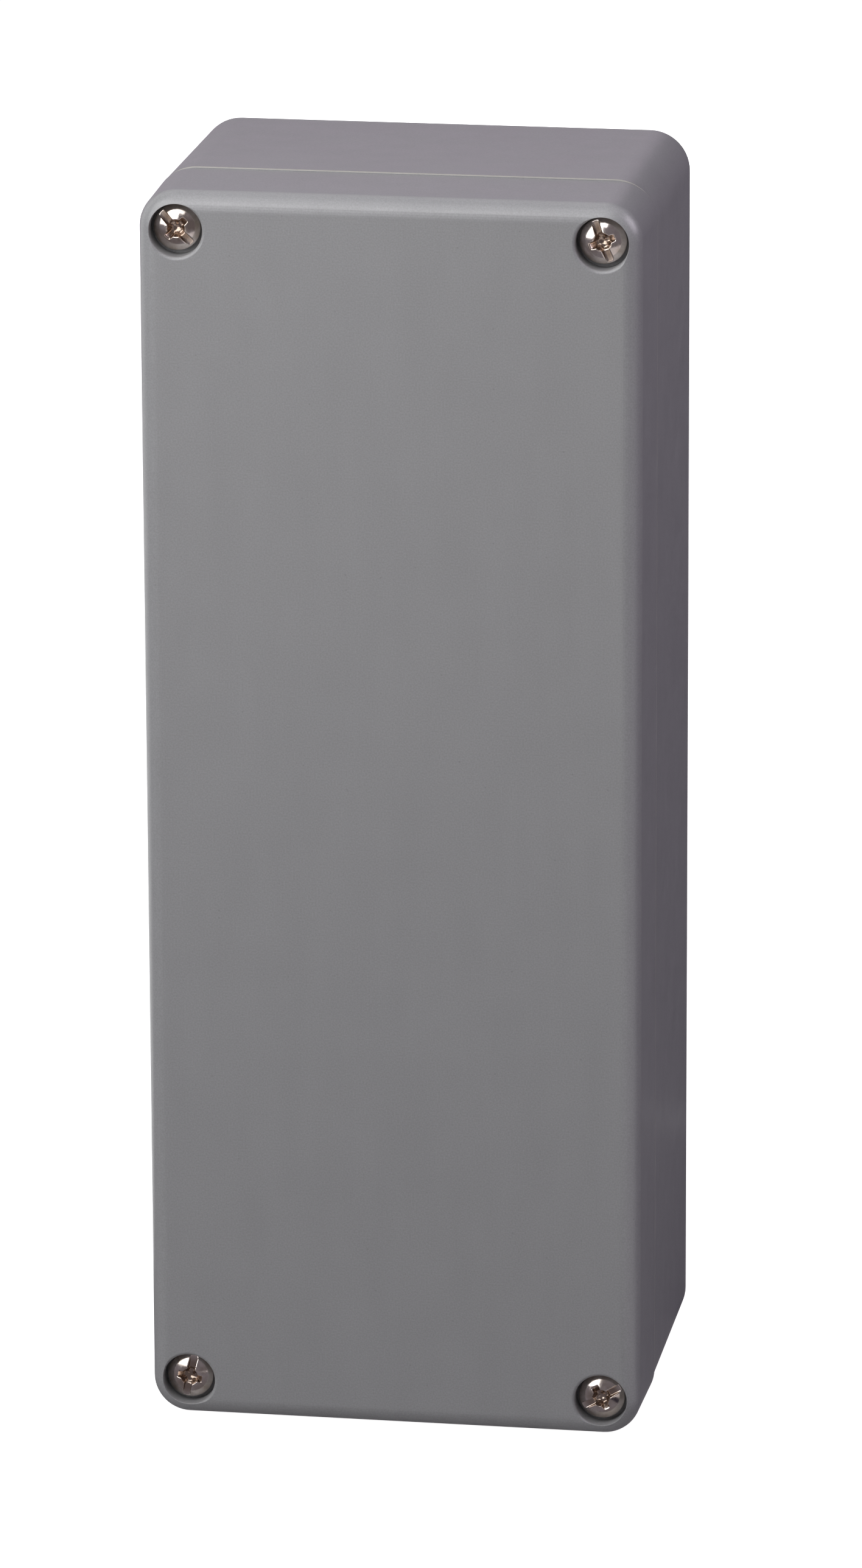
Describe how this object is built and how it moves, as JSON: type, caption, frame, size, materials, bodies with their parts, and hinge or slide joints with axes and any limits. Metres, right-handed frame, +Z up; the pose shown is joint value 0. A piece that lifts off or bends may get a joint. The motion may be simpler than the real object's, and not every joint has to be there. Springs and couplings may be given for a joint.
{
  "type": "polyester enclosure",
  "caption": "Upright rectangular sealed wall enclosure in grey moulded polyester, with a screwed lid, captive slotted cross-recess screws, seal, corner fixing wells and threaded floor inserts.",
  "frame": {"origin": "middle of the back face that lies on the wall", "axes": "+Z up along the height, +X to the right seen from the front, the lid faces -Y and the wall is at +Y"},
  "size_m": [0.075, 0.055, 0.1902],
  "materials": {
    "polyester_base": "moulded glass-filled polyester, satin grey",
    "polyester_lid": "moulded glass-filled polyester, satin grey",
    "gasket_rubber": "moulded chloroprene",
    "stainless_steel": "cold-headed stainless steel",
    "polyamide": "natural polyamide",
    "brass": "turned brass"
  },
  "bodies": {
    "base_assembly": {"base": "polyester_base", "post_insert_top_left": "brass", "post_insert_top_right": "brass", "post_insert_bottom_left": "brass", "post_insert_bottom_right": "brass", "plate_insert_top_left": "brass", "plate_insert_top_right": "brass", "plate_insert_bottom_left": "brass", "plate_insert_bottom_right": "brass", "rail_insert_top": "brass", "rail_insert_bottom": "brass"},
    "lid_assembly": {"lid": "polyester_lid", "gasket": "gasket_rubber"},
    "washer_top_left": {"retaining_washer_top_left": "polyamide"},
    "screw_top_left": {"lid_screw_top_left": "stainless_steel"},
    "washer_top_right": {"retaining_washer_top_right": "polyamide"},
    "screw_top_right": {"lid_screw_top_right": "stainless_steel"},
    "washer_bottom_left": {"retaining_washer_bottom_left": "polyamide"},
    "screw_bottom_left": {"lid_screw_bottom_left": "stainless_steel"},
    "washer_bottom_right": {"retaining_washer_bottom_right": "polyamide"},
    "screw_bottom_right": {"lid_screw_bottom_right": "stainless_steel"}
  },
  "joints": [
    {"name": "lid_removal", "type": "slide", "parent": "base_assembly", "child": "lid_assembly", "axis": [0, -1, 0], "range_m": [0, 0.06]},
    {"name": "screw_rise_top_left", "type": "slide", "parent": "lid_assembly", "child": "washer_top_left", "axis": [0, -1, 0], "range_m": [0, 0.008]},
    {"name": "screw_turn_top_left", "type": "hinge", "parent": "washer_top_left", "child": "screw_top_left", "pos_m": [-0.0315, -0.0518, 0.089], "axis": [0, -1, 0], "range_deg": [0, 4114.3]},
    {"name": "screw_rise_top_right", "type": "slide", "parent": "lid_assembly", "child": "washer_top_right", "axis": [0, -1, 0], "range_m": [0, 0.008]},
    {"name": "screw_turn_top_right", "type": "hinge", "parent": "washer_top_right", "child": "screw_top_right", "pos_m": [0.0315, -0.0518, 0.089], "axis": [0, -1, 0], "range_deg": [0, 4114.3]},
    {"name": "screw_rise_bottom_left", "type": "slide", "parent": "lid_assembly", "child": "washer_bottom_left", "axis": [0, -1, 0], "range_m": [0, 0.008]},
    {"name": "screw_turn_bottom_left", "type": "hinge", "parent": "washer_bottom_left", "child": "screw_bottom_left", "pos_m": [-0.0315, -0.0518, -0.089], "axis": [0, -1, 0], "range_deg": [0, 4114.3]},
    {"name": "screw_rise_bottom_right", "type": "slide", "parent": "lid_assembly", "child": "washer_bottom_right", "axis": [0, -1, 0], "range_m": [0, 0.008]},
    {"name": "screw_turn_bottom_right", "type": "hinge", "parent": "washer_bottom_right", "child": "screw_bottom_right", "pos_m": [0.0315, -0.0518, -0.089], "axis": [0, -1, 0], "range_deg": [0, 4114.3]}
  ],
  "couplings": [
    {"joint": "screw_turn_top_left", "follows": "screw_rise_top_left", "rad_per_m": 8976},
    {"joint": "screw_turn_top_right", "follows": "screw_rise_top_right", "rad_per_m": 8976},
    {"joint": "screw_turn_bottom_left", "follows": "screw_rise_bottom_left", "rad_per_m": 8976},
    {"joint": "screw_turn_bottom_right", "follows": "screw_rise_bottom_right", "rad_per_m": 8976}
  ]
}
